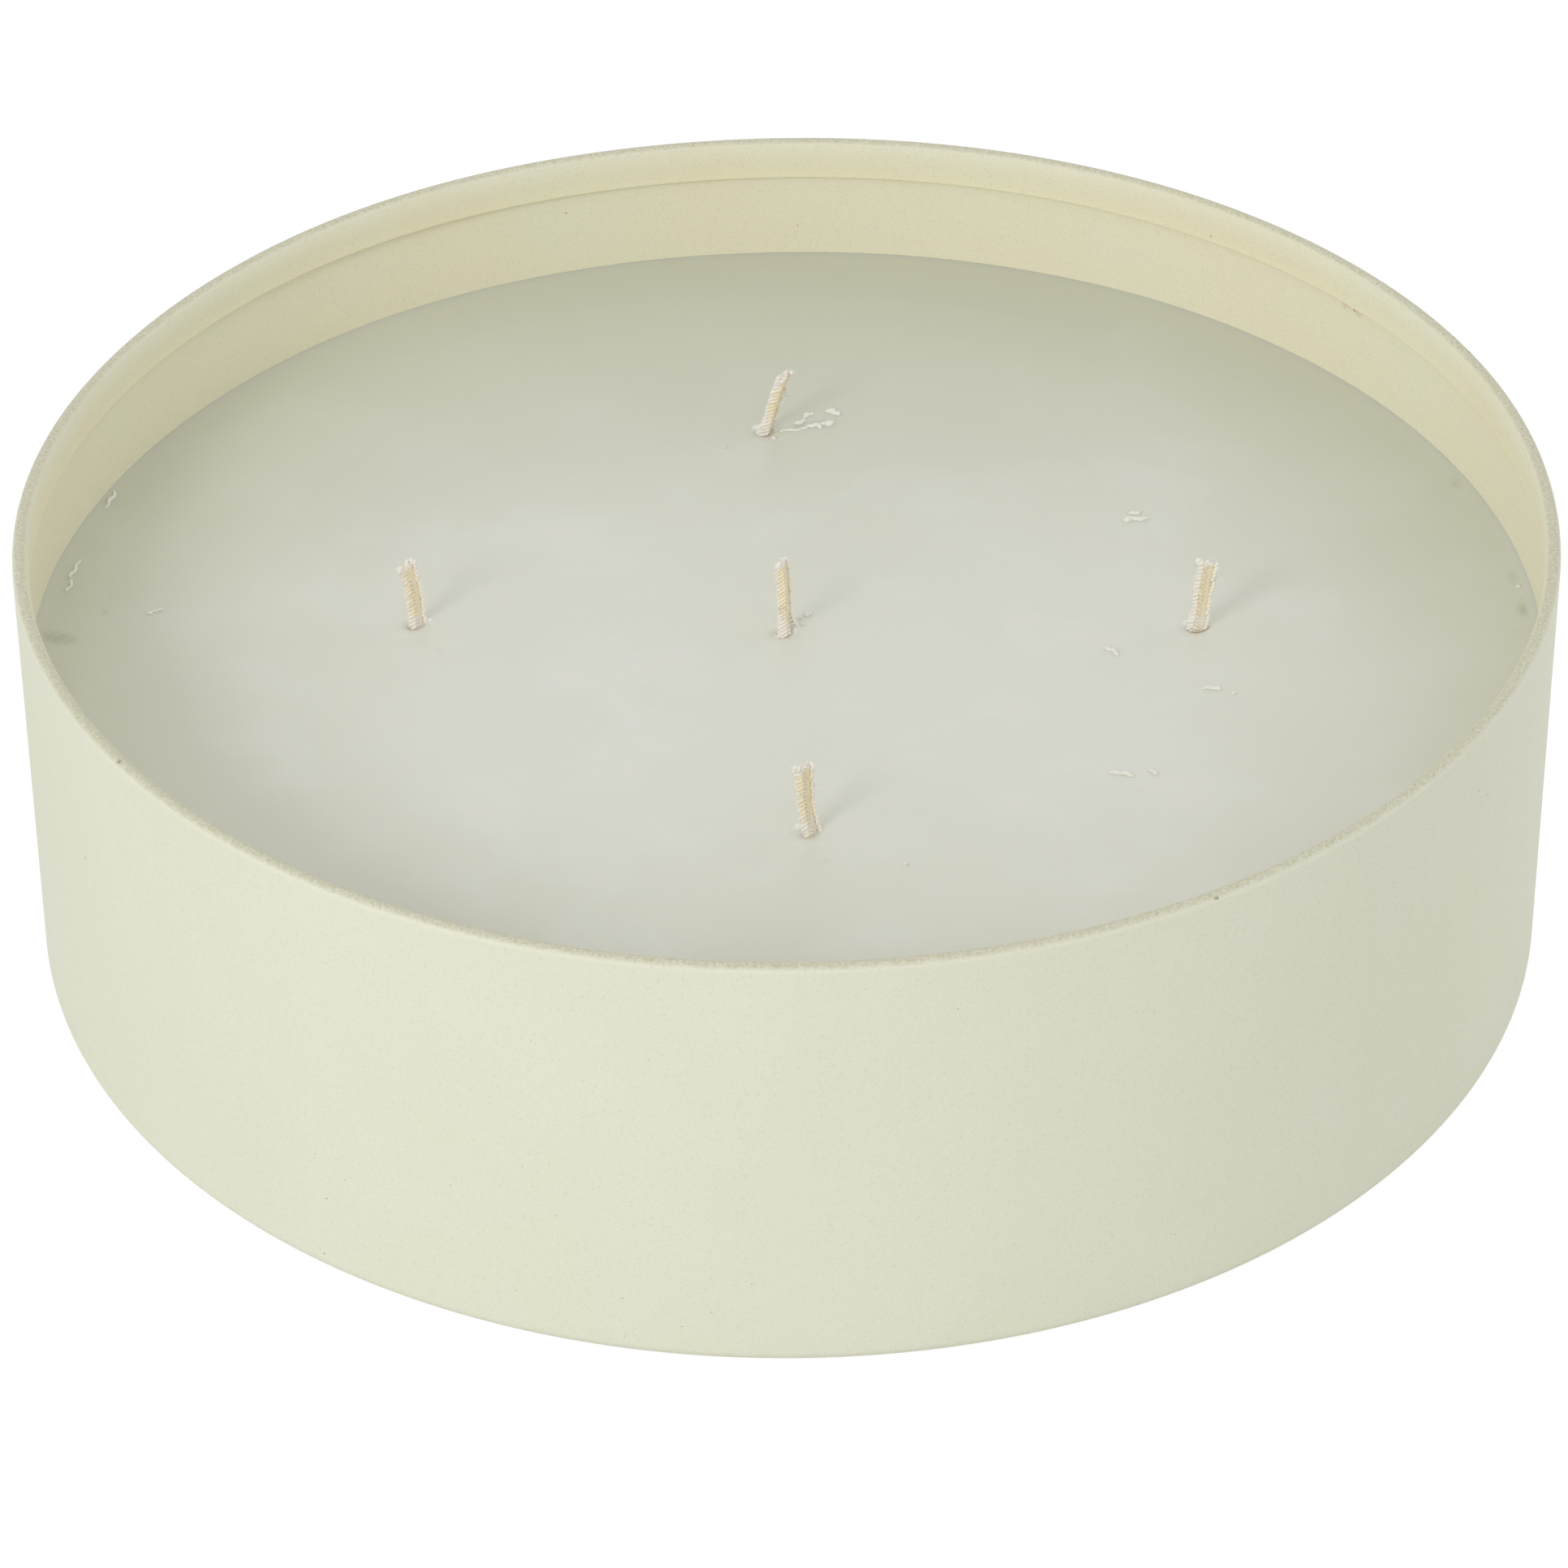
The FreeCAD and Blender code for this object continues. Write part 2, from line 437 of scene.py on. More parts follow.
def crescent(x, y, wick):
    """One on the front half of an ellipse round a wick's foot: a bell of the distance from it."""
    (flat_x, flat_y), (across, back) = wick["flat"], (x - wick["foot"][0], y - wick["foot"][1])
    wide = (across * flat_x + back * flat_y) / SCORCH_HALF[0]
    deep = (back * flat_x - across * flat_y) / SCORCH_HALF[1]
    front = np.clip(0.5 - back / (0.9 * MM), 0, 1)
    return bell(np.hypot(wide, deep) - 1, 0.3) * front


def wax_relief(x, y):
    """Height over the wax's level, and how torn, scorched and smudged it is, at each place."""
    radius = np.hypot(x, y)
    height = CREEP_RISE * np.exp(-np.maximum(WAX_RADIUS - radius, 0) / CREEP_WIDTH)
    height += POUR_WAVE * (waves(x, y, LONG_SWELL, seed=11) + 0.5 * waves(x, y, SHORT_SWELL, seed=12))
    wander = 3 * waves(x, y, RING_WANDER, seed=13)
    height += 0.25 * POUR_WAVE * np.cos(TURN * radius / SET_RINGS + wander)
    torn, stain, smudge = np.zeros((3, *x.shape))
    for place, wick in wicks.items():
        middle = wick["foot"][:2] + WELL_SHIFT
        well = np.hypot(x - middle[0], y - middle[1])
        lip, tear = (share * bell(well - out, wide) for out, wide, share in (WELL_LIP, WELL_TEAR))
        height += lip - WELL_DEPTH * bell(well, WELL_WIDTH)
        stain += SCORCH[place] * crescent(x, y, wick)
        torn += tear
    for across, back, reach, rise in LUMPS:
        away = np.hypot(x - across, y - back) * (1 + 0.25 * waves(x, y, 1.6 * MM, seed=15))
        height += rise * bell(away, reach)
        torn += 1.1 * bell(away, reach)
    for hole in PINHOLES:
        away = np.hypot(x - hole[0], y - hole[1])
        height -= PINHOLE_DEPTH * bell(away, 1.0 * MM)
        stain += 0.25 * bell(away, 1.1 * MM)
    for across, back, wide, deep, strength in SMUDGES:
        smudge += strength * bell(np.hypot((x - across) / wide, (y - back) / deep), 1)
    trough = bell(off_line(x, y, TROUGH) * (1 + 0.2 * waves(x, y, 2.2 * MM, seed=16)), TROUGH_HALF)
    height -= TROUGH_DEPTH * trough
    smudge += 0.45 * trough
    return height, {"torn": torn, "stain": stain, "smudge": smudge}


def wax_surface():
    """Top on a grid crowded near the wicks, then down the wall, round the bottom edge and back."""
    feet = np.array([wick["foot"][:2] for wick in wicks.values()])
    reach = np.hypot(feet[:, 0], feet[:, 1])
    headings = np.arctan2(feet[1:, 1], feet[1:, 0])
    around = np.concatenate([headings, headings - TURN, headings + TURN])
    angles = crowded(-math.pi, math.pi, SPOKES + 1, around, *SPOKE_CROWD)[:-1]
    rings = crowded(0.25 * MM, WAX_RADIUS, RINGS, [0, *reach, WAX_RADIUS], *RING_CROWD)
    rings = np.insert(rings, -1, WAX_RADIUS - EDGE_RING)
    top = np.stack([rings, np.full_like(rings, WAX_LEVEL)], -1)
    floor = wax_low.z
    wall_foot, floor_edge = (WAX_RADIUS, floor + BEND_INSIDE), (WAX_RADIUS - BEND_INSIDE, floor)
    below = np.concatenate([
        stretch((WAX_RADIUS, WAX_LEVEL), wall_foot, FLOOR_STEP, CLOSE)[1:],
        stretch(wall_foot, floor_edge, 1 * MM, 0.1 * MM)[1:],
        stretch(floor_edge, (INNER_RING, floor), 30 * MM, CLOSE)[1:],
    ])
    section = np.concatenate([top, below])[::-1]
    grid = turn_section(section, angles)
    height, marks = wax_relief(grid[..., 0], grid[..., 1])
    edge = np.clip(section[:, 0] / WAX_RADIUS, 0, 1)[:, None] ** 4
    grid[..., :2] *= (1 - edge * (1 - pressed(angles[None, :], grid[..., 2])))[..., None]
    is_top = np.arange(len(section)) >= len(below)
    grid[..., 2] += np.where(is_top[:, None], height, 0)
    grid[len(below) - 1, :, 2] = WAX_LEVEL + CREEP_RISE - EDGE_RING
    centre_height = WAX_LEVEL + float(height[-1].mean())
    surface = close_on_axis(grid, (0, 0, floor), (0, 0, centre_height))
    return surface, {key: np.append(value * is_top[:, None], [0, 0]) for key, value in marks.items()}


surface, values = wax_surface()
wax = add_piece("wax_surface", *surface, values)
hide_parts("wax_fill")

# %% [markdown]
# ## Tubes of many kinds
#
# Yarns, loose fibres, crumbs and slivers of wax are all short tubes with round ends. One function makes
# any number of them at once: each has a path with a radius at each step, and a ring of points stands
# square to the path there. Curve objects with a bevel would do too, but hundreds of them are slow to
# make and join.

# %% Tubes
def unit(vectors):
    """The same directions with a length of one."""
    return vectors / np.linalg.norm(vectors, axis=-1, keepdims=True)


def square_directions(paths):
    """Two directions square to each path and to each other, from a fixed axis that it runs across."""
    tangent = unit(np.gradient(paths, axis=-2))
    axis = np.eye(3)[np.argmin(np.abs(tangent.mean(-2)), axis=-1)][..., None, :]
    first = unit(np.cross(tangent, axis))
    return first, np.cross(tangent, first)


def tubes(paths, radii, sides, squash=1.0):
    """Closed tubes: ring point = path + radius * (cos t * first + squash * sin t * second)."""
    count, steps = radii.shape
    first, second = square_directions(paths)
    angle = np.linspace(0, TURN, sides, endpoint=False)
    cos, sin = np.cos(angle)[:, None], squash * np.sin(angle)[:, None]
    ring = cos * first[:, :, None, :] + sin * second[:, :, None, :]
    rings = paths[:, :, None, :] + radii[:, :, None, None] * ring
    size = steps * sides + 2
    points = np.concatenate([rings.reshape(count, -1, 3), paths[:, [0, -1]]], 1).reshape(-1, 3)
    ring = np.arange(sides)
    fans = [ring_fan(ring, size - 2, True), ring_fan(ring + (steps - 1) * sides, size - 1, False)]
    offset = (np.arange(count) * size)[:, None, None]
    quads = (grid_quads(steps, sides) + offset).reshape(-1, 4)
    return points, quads, (np.concatenate(fans) + offset).reshape(-1, 3)


def round_ends(steps, blunt=0.35):
    """Share of full radius along a tube: a half ellipse at each end, full in between."""
    share = np.linspace(-1, 1, steps)
    end = np.clip((np.abs(share) - (1 - blunt)) / blunt, 0, 0.985)
    return np.sqrt(1 - end**2)


def join(parts):
    """Several sets of points, quads and triangles as one, each counted on from the last."""
    offsets = np.cumsum([0] + [len(part[0]) for part in parts[:-1]])
    counted = [(points, quads + k, fans + k) for (points, quads, fans), k in zip(parts, offsets)]
    return tuple(np.concatenate(arrays) for arrays in zip(*counted))


# %% [markdown]
# ## The wicks
#
# A flat candle wick is a plait: its yarns run from edge to edge and back, over and under each other.
# Each yarn here follows that plait's formula along the wick's own curved line. The core is one plain
# strip, so that no gap shows through. Dipping leaves pale wax on the cut tip and near the foot, and
# cutting frays the tip. The wick's left and right sides are painted pale as well, as painted sheen. So
# each point carries a value for how much wax and sheen it shows, and short fibres stand off the yarns.
# A bump map could draw the plait on a plain strip, but its outline would stay smooth, and the outline is
# what the eye sees on a piece 3 mm wide. Shares run from 0 at the wax's level to 1 at the tip.

# %% Wick lines
WICK_WIDTH = 3.2 * MM
WICK_THICKNESS = 1.8 * MM
YARN_RADIUS = 0.34 * MM
YARNS = 9
YARN_STEPS = 90
YARN_START = -0.16
PLAIT_PITCH = 7.5 * MM
BOWS = {"centre": 0.25, "left": 0.45, "right": -0.15, "front": -0.4, "back": -0.2}
SPLIT_TIPS = {"centre": 0.05, "left": 0.42, "right": 0.1, "front": 0.2, "back": 0.12}
TIP_SPREADS = {"centre": 0.0, "left": 0.05, "right": 0.22, "front": 0.1, "back": 0.35}
ROOT_SPREADS = {"centre": 1.5, "left": 0.2, "right": -0.7, "front": 0.4, "back": -0.6}
ROOT_SHARE = 0.28
TIP_SHARE = 0.2
CORE_SHARE = 0.72
CORE_STEPS = (8, 30)
UP = np.array([0, 0, 1.0])


def wick_line(place, share):
    """Middle line over the wax: up and over to the tip, bowed to the side by a half sine."""
    wick = wicks[place]
    foot, tip = wick["foot"], wick["tip"]
    bow = BOWS[place] * MM * np.sin(math.pi * np.clip(share, 0, 1))
    x = foot[0] + (tip[0] - foot[0]) * share + bow
    y = foot[1] + (tip[1] - foot[1]) * share
    z = WAX_LEVEL + (tip[2] - WAX_LEVEL) * share
    return np.stack([x, y, z], -1)


def wick_frame(place, share):
    """Middle line with the directions across and through the flat wick."""
    line = wick_line(place, share)
    across = np.append(wicks[place]["flat"], 0)
    tangent = unit(np.gradient(line, axis=0))
    across = unit(across - (tangent @ across)[:, None] * tangent)
    return line, across, np.cross(tangent, across)


def yarn_paths(place, random):
    """Each yarn swings across by a sine and through by a sine of three times the pace."""
    share = np.linspace(YARN_START, 1, YARN_STEPS)
    line, across, through = wick_frame(place, share)
    length = wicks[place]["tip"][2] - WAX_LEVEL
    phase = TURN * (np.arange(YARNS)[:, None] / YARNS + share * length / PLAIT_PITCH)
    flare = 1 + 0.1 * waves(share * length, share * 0, 5 * MM, random.integers(99))
    flare += TIP_SPREADS[place] * np.clip(share, 0, 1)
    wide = (WICK_WIDTH / 2 - YARN_RADIUS) * flare * (1 + 0.05 * random.normal(size=(YARNS, 1)))
    deep = WICK_THICKNESS / 2 - YARN_RADIUS
    swing = wide * np.sin(phase)
    near_tip = np.clip((share - 0.8) / TIP_SHARE, 0, 1)
    swing += SPLIT_TIPS[place] * MM * np.tanh(swing / MM * 3) * near_tip
    weave = deep * np.sin(3 * phase + 0.6)
    paths = line + swing[..., None] * across + weave[..., None] * through
    spread = ROOT_SPREADS[place] * MM
    outer = np.clip((paths[..., 0] - line[:, 0]) / (WICK_THICKNESS / 2) * np.sign(spread), 0, 1)
    paths[..., 0] += spread * outer * np.clip(1 - share / ROOT_SHARE, 0, 1) ** 1.3
    paths[..., 2] -= random.uniform(0, 0.5, YARNS)[:, None] * MM * near_tip
    return paths, share


def wick_core(place):
    """Plain strip inside the yarns, from the floor to just under the tip."""
    foot = wicks[place]["foot"]
    below, above = CORE_STEPS
    straight = foot + np.linspace(0, 1, below)[:, None] * UP * (WAX_LEVEL - 2 * MM - foot[2])
    line = np.concatenate([straight, wick_line(place, np.linspace(-0.06, 0.97, above))])
    across = np.append(wicks[place]["flat"], 0)
    through = np.array([-across[1], across[0], 0])
    angle = np.linspace(0, TURN, 24, endpoint=False)[:, None]
    shell = np.repeat([0.5, 0.5 * CORE_SHARE], CORE_STEPS)[:, None, None]
    ring = WICK_WIDTH * np.cos(angle) * across + WICK_THICKNESS * np.sin(angle) * through
    grid = line[:, None, :] + shell * ring
    return close_on_axis(grid, line[0], line[-1])


# %% [markdown]
# The loose fibres start on the yarns, lean out and up, and curl a little. Crumbs of wax cling to the
# edges: they are tubes too, hardly longer than wide. Both are seeded, so each run gives one candle.

# %% Wick pieces
FIBRES = 90
FIBRE_RADIUS = 0.045 * MM
CLINGING_CRUMBS = 26
FILM_PATCH = 3.5 * MM
SHEEN_FLANK, FILM_TIP, FILM_ROOT = 0.45, 0.86, 0.26


def loose_fibres(paths, random):
    """Short curved hairs: start + direction * s + curl * s squared, more of them near the tip."""
    count, steps = paths.shape[:2]
    step = np.minimum((steps * (1 - random.uniform(0, 0.75, FIBRES) ** 1.6)).astype(int), steps - 1)
    start = paths[random.integers(0, count, FIBRES), step]
    middle = paths.mean(0)[step]
    outward = unit(start - middle + 0.15 * MM * random.normal(size=(FIBRES, 3)))
    heading = unit(outward + random.uniform(0.1, 1.3, (FIBRES, 1)) * UP)
    reach = random.uniform(0.5, 1.5, (FIBRES, 1)) * MM
    along = np.linspace(0, 1, 6)[None, :, None]
    curl = 0.5 * random.normal(size=(FIBRES, 1, 3)) * reach[:, None]
    hairs = start[:, None] + (heading * reach)[:, None] * along + curl * along**2
    hairs[..., 2] = np.minimum(hairs[..., 2], middle[-1, 2] + 0.9 * MM)
    radii = FIBRE_RADIUS * (1 - 0.6 * along[..., 0]) * np.ones((FIBRES, 1))
    return tubes(hairs, radii, 4)


def clinging_crumbs(paths, random):
    """Small lumps of wax on the edges of the plait, thickest at its foot and its tip."""
    count, steps = paths.shape[:2]
    share = random.beta(0.6, 0.6, CLINGING_CRUMBS)
    step = (14 + share * (steps - 15)).astype(int)
    swing = np.linalg.norm(paths - paths.mean(0), axis=-1)
    yarn = np.argmax(swing + 0.3 * MM * random.normal(size=(count, steps)), axis=0)[step]
    seat = paths[yarn, step]
    size = random.uniform(0.2, 0.42, CLINGING_CRUMBS) * (1 + 0.5 * share**6) * MM
    heading = unit(random.normal(size=(CLINGING_CRUMBS, 3)) + 1.5 * UP)
    along = np.linspace(-1, 1, 8)[None, :, None]
    lines = seat[:, None] + heading[:, None] * size[:, None, None] * 1.3 * along
    radii = size[:, None] * round_ends(8, 0.9) * (1 + 0.15 * random.normal(size=(CLINGING_CRUMBS, 8)))
    return tubes(lines, radii, 8, squash=0.8)


def wax_film_and_sheen(place, points, seed):
    """How much wax each point shows: painted sheen on the wick's left and right, wax on its tip and
    root.
    """
    wick = wicks[place]
    share = (points[:, 2] - WAX_LEVEL) / (wick["tip"][2] - WAX_LEVEL)
    half = np.abs(wick["flat"]) @ (WICK_WIDTH, WICK_THICKNESS) / 2
    # Painted sheen: pale paint on the wick's left and right sides along X, its edges as seen from the
    # front.
    flank = np.abs((points[:, 0] - wick_line(place, share)[:, 0]) / half - 0.05)
    film_and_sheen = np.clip((flank - SHEEN_FLANK) * 2.2, 0, 0.9) + np.clip((share - FILM_TIP) * 6, 0, 0.9)
    film_and_sheen += 0.5 * waves(points[:, 0] + points[:, 1], points[:, 2], FILM_PATCH, seed)
    return np.clip(film_and_sheen + 0.65 * bell(share, FILM_ROOT), 0, 1)


def make_wick(place, seed):
    """One wick: core, yarns, fibres and clinging crumbs, with how much wax and sheen each point shows.
    """
    random = np.random.default_rng(seed)
    paths, share = yarn_paths(place, random)
    ends = np.sqrt(1 - np.clip((share - 0.97) / 0.03, 0, 0.97) ** 2)
    thickness = YARN_RADIUS * ends * (1 + 0.07 * random.normal(size=(YARNS, 1)))
    plait = join([wick_core(place), tubes(paths, thickness, 8)])
    fibres = loose_fibres(paths, random)
    crumbs = clinging_crumbs(paths, random)
    film_and_sheen = wax_film_and_sheen(place, plait[0], seed)
    wax_and_sheen = np.concatenate([film_and_sheen, np.full(len(fibres[0]), 0.7), np.ones(len(crumbs[0]))])
    piece = add_piece("braided_wick_" + place, *join([plait, fibres, crumbs]), {"wax_and_sheen": wax_and_sheen})
    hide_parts("wick_" + place)
    return piece


wick_pieces = [make_wick(place, 100 + index) for index, place in enumerate(PLACES)]

# %% [markdown]
# ## Crumbs and slivers on the wax
#
# Trimming the wicks and wiping the edge left a few bits of wax stuck to the surface, and the torn trough
# has raised lips. They are lighter than the wax under them, because broken wax scatters light at every
# small face. Each is a lumpy, slightly bowed tube between two places on the wax, half sunk into it. The
# columns are where it starts and ends, its radius and how far it bows to its left.

# %% Crumbs on the wax
SLIVERS = np.array([
    (3.1, 4.3, 4.7, 4.9, 0.45, 0.1), (2.7, 1.0, 3.2, 1.2, 0.42, 0), (2.1, 3.2, 2.5, 3.6, 0.32, 0),
    (63.5, 36.0, 68.5, 36.6, 0.55, 0.3), (64.5, 38.4, 67.0, 38.6, 0.40, 0),
    (58.0, -7.0, 60.5, -9.6, 0.45, 0.2), (57.0, -47.0, 61.5, -48.0, 0.40, 0.3),
    (64.0, -46.0, 65.5, -47.6, 0.35, 0), (75.0, -20.4, 78.5, -21.0, 0.40, 0.2),
    (80.0, -22.4, 81.0, -22.0, 0.30, 0), (-129.1, 42.4, -127.7, 48.6, 0.36, 0.3),
    (-133.4, 18.4, -132.3, 24.8, 0.32, 0.3), (-133.9, 13.6, -133.3, 18.0, 0.28, -0.2),
    (-118.2, 6.0, -116.4, 7.2, 0.34, 0.2), (-116.7, 7.4, -115.4, 7.2, 0.30, 0.2),
    (135.4, 12.0, 135.9, 12.8, 0.34, 0), (20.0, -74.5, 20.8, -74.0, 0.30, 0),
    (-12.0, 63.0, -11.6, 63.2, 0.30, 0), (-2.8, 65.7, -2.2, 66.0, 0.40, 0),
    (-1.4, 69.0, 4.2, 70.3, 0.34, -0.5), (3.8, 70.3, 7.0, 71.3, 0.42, 0),
    (6.4, 71.2, 9.4, 71.9, 0.60, -0.2), (6.4, 70.4, 6.8, 69.6, 0.42, 0),
    (1.6, 71.7, 3.7, 73.4, 0.36, -0.3), (3.3, 73.5, 5.4, 75.4, 0.42, 0.2),
    (7.6, 76.2, 10.2, 74.2, 0.58, 0.5),
]) * MM
SLIVER_RISE = 0.08 * MM


def wobble(random, rows, steps):
    """Smooth random swings from -1 to 1 along each row: the mean of two sines with random phases."""
    share = np.linspace(0, 1, steps)
    phase = random.uniform(0, TURN, (2, rows, 1))
    return (np.sin(TURN * 0.8 * share + phase[0]) + np.sin(TURN * 1.9 * share + phase[1])) / 2


def wax_crumbs():
    """Lumpy tubes: start + run * s + left * bow * sin(pi s), at the wax's own height there."""
    random = np.random.default_rng(7)
    steps = 16
    share = np.linspace(0, 1, steps)[None, :, None]
    start, run = SLIVERS[:, None, 0:2], SLIVERS[:, None, 2:4] - SLIVERS[:, None, 0:2]
    size, bow = SLIVERS[:, 4:5], SLIVERS[:, None, 5:6]
    length = np.linalg.norm(run, axis=-1, keepdims=True)
    left = run[..., ::-1] * (-1, 1) / length
    flat = start + run * share + left * bow * np.sin(math.pi * share)
    flat += 0.07 * length * wobble(random, len(SLIVERS), steps)[..., None] * left
    height = WAX_LEVEL + wax_relief(flat[..., 0], flat[..., 1])[0]
    lines = np.concatenate([flat, height[..., None]], -1)
    radii = size * round_ends(steps, 0.5) * (1 + 0.35 * wobble(random, len(SLIVERS), steps))
    points, quads, triangles = tubes(lines, radii, 10)
    return points + SLIVER_RISE * UP, quads, triangles


crumbs = add_piece("wax_crumbs", *wax_crumbs())

# %% [markdown]
# ## Colours and nodes
#
# Colours are written as the sRGB hex values that a paint chart or a picture gives. One function turns
# them linear, as the shader needs. One more adds a node: its settings go by name, and each of its inputs
# gets a number, a colour or another node's output. A finish is then a base colour under a few layers.

# %% Colour and node helpers
SMOOTH = {"interpolation_type": "SMOOTHSTEP"}
COLOURS = {"data_type": "RGBA"}
TIMES = {"operation": "MULTIPLY"}
LARGER = {"operation": "MAXIMUM"}
GRAINY = {"Detail": 3, "Roughness": 0.6}
NOISE_SPREAD = {"From Min": 0.3, "From Max": 0.7}


def linear(code):
    """Linear red, green, blue and alpha of an sRGB hex colour."""
    parts = [int(code[k:k + 2], 16) / 255 for k in (1, 3, 5)]
    return (*[v / 12.92 if v <= 0.04045 else ((v + 0.055) / 1.055) ** 2.4 for v in parts], 1.0)


def add(tree, kind, inputs, take=0, **settings):
    """Adds a node, applies its settings, fills or links its inputs, and gives back one output."""
    node = tree.nodes.new("ShaderNode" + kind)
    for key, value in settings.items():
        setattr(node, key, value)
    for key, value in inputs.items():
        if isinstance(value, bpy.types.NodeSocket):
            tree.links.new(value, node.inputs[key])
        else:
            node.inputs[key].default_value = linear(value) if isinstance(value, str) else value
    return node.outputs[take] if len(node.outputs) else node


def new_material(name):
    """Empty material, with its tree and its object coordinates."""
    material = bpy.data.materials.new(name)
    material.use_nodes = True
    material.node_tree.nodes.clear()
    return material, material.node_tree, add(material.node_tree, "TexCoord", {}, "Object")


def finish_material(tree, inputs, even):
    """Principled shader: links for what varies over the surface, plain numbers for what doesn't."""
    add(tree, "OutputMaterial", {"Surface": add(tree, "BsdfPrincipled", {**inputs, **even})})


# %% [markdown]
# Two patterns come back on several finishes: scattered dots, of which only some are there, and a ragged
# patch round a place. Each is put together here once from its real sizes.

# %% Dots and patches
def dots(tree, place, spacing, radius, share):
    """One inside scattered dots of a radius, about one spacing apart, of which a share exists."""
    cells = {"Vector": place, "Scale": 1 / spacing}
    away = add(tree, "TexVoronoi", cells, "Distance")
    lot = add(tree, "SeparateColor", {"Color": add(tree, "TexVoronoi", cells, "Color")}, "Red")
    reach = radius / spacing
    dot = add(tree, "MapRange", {"Value": away, "From Min": reach, "From Max": 0.6 * reach}, **SMOOTH)
    exists = add(tree, "Math", {0: lot, 1: share}, operation="LESS_THAN")
    return add(tree, "Math", {0: dot, 1: exists}, **TIMES)


def patches(tree, place, centres, reach, noise, stray=1.5, core=0.5):
    """One near any of some places, falling from its core to nothing at its reach, and moved by noise."""
    shift = add(tree, "Math", {0: noise, 1: 0.5}, operation="SUBTRACT")
    total = 0.0
    for centre in centres:
        away = add(tree, "VectorMath", {0: place, 1: centre}, "Value", operation="DISTANCE")
        moved = add(tree, "Math", {0: shift, 1: stray * reach, 2: away}, operation="MULTIPLY_ADD")
        fall = {"Value": moved, "From Min": core * reach, "From Max": reach, "To Min": 1, "To Max": 0}
        near = add(tree, "MapRange", fall, **SMOOTH)
        total = add(tree, "Math", {0: total, 1: near}, **LARGER)
    return total


# %% [markdown]
# ## Powder coat
#
# The steel is coated with polyester powder that was blown on dry and baked. Fine-texture powder sets as
# a matt skin with a grit of about 0.3 mm, drawn here at 0.45 mm so that it shows, over a slow orange
# peel; the low points of the grit are painted darker, as painted shade. Inside, the coat is painted
# warmer and yellower, as painted bounce light from the wax. The rim's crest is painted a darker tan in a
# crumble of 0.6 mm, as painted shade. Dark pores are scattered over it, with a peppering of them low on
# the front.
# In one place under the hem's cut edge moisture got in: rust has bled through round a few pits.
# Polyester's index is about 1.5.

# %% Powder-coated steel
COAT_GRIT = 0.45 * MM
COAT_CRUMBLE = 0.6 * MM
COAT_PEEL = 4 * MM
COAT_CLOUD = 35 * MM
PORE_SPACING = 9 * MM
PORE_RADIUS = 0.26 * MM
PEPPER_SPACING = 2.4 * MM
PEPPER_RADIUS = 0.17 * MM
PEPPER_PLACES = ((-0.076, -0.1176, 0.016), (-0.046, -0.1322, 0.018), (-0.020, -0.1386, 0.015))
PEPPER_REACH = 24 * MM
DARKEST = 0.62
RUST_PLACES = ((0.1090, 0.0861, 0.0746), (0.1111, 0.0833, 0.0747))
RUST_REACH = 1.9 * MM
RUST_PITS = ((0.1103, 0.0843, 0.0745), (0.1116, 0.0826, 0.0749), (0.1072, 0.0882, 0.0752))
PIT_REACH = 0.5 * MM
CHIP_PLACES = ((-0.1140, -0.0797, 0.0838), (0.0705, -0.1207, 0.0836), (0.1290, 0.0527, 0.0838))
CHIP_REACH = 0.55 * MM


